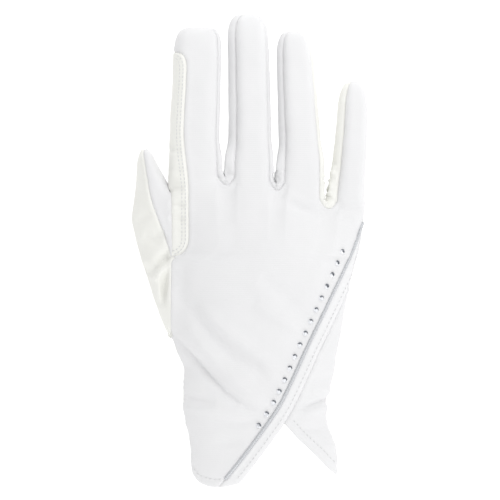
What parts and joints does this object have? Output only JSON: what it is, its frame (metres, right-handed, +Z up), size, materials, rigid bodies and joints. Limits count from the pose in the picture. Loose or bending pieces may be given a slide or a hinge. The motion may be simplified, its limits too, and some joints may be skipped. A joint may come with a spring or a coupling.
{
  "type": "riding glove",
  "caption": "Right-hand riding glove in white stretch fabric and leather, with silver piping, a row of cut stones and an open vent at the cuff.",
  "frame": {"origin": "middle of the glove's outline, on the surface that it lies on", "axes": "+Z up from the palm to the back of the hand, +Y from the cuff to the fingertips, +X from the thumb to the little finger"},
  "size_m": [0.1134, 0.226, 0.0249],
  "materials": {
    "stretch_fabric": "matt rib-knit stretch fabric",
    "leather": "soft satin glove leather with a fine grain",
    "facing": "smooth matt woven tape",
    "piping": "silver lurex-wound piping with a metallic sheen",
    "stone": "polished cut glass over a silvered back"
  },
  "bodies": {
    "root": {"back_panel": "stretch_fabric", "side_panel": "stretch_fabric", "facing_band": "facing", "palm_panel": "leather", "thumb_leather": "leather", "thumb_fabric": "stretch_fabric", "index_strip": "leather", "fourchette_index_middle": "stretch_fabric", "fourchette_middle_ring": "stretch_fabric", "fourchette_ring_little": "leather", "piping": "piping", "stone_01": "stone", "stone_02": "stone", "stone_03": "stone", "stone_04": "stone", "stone_05": "stone", "stone_06": "stone", "stone_07": "stone", "stone_08": "stone", "stone_09": "stone", "stone_10": "stone", "stone_11": "stone", "stone_12": "stone", "stone_13": "stone", "stone_14": "stone", "stone_15": "stone", "stone_16": "stone"}
  },
  "joints": []
}
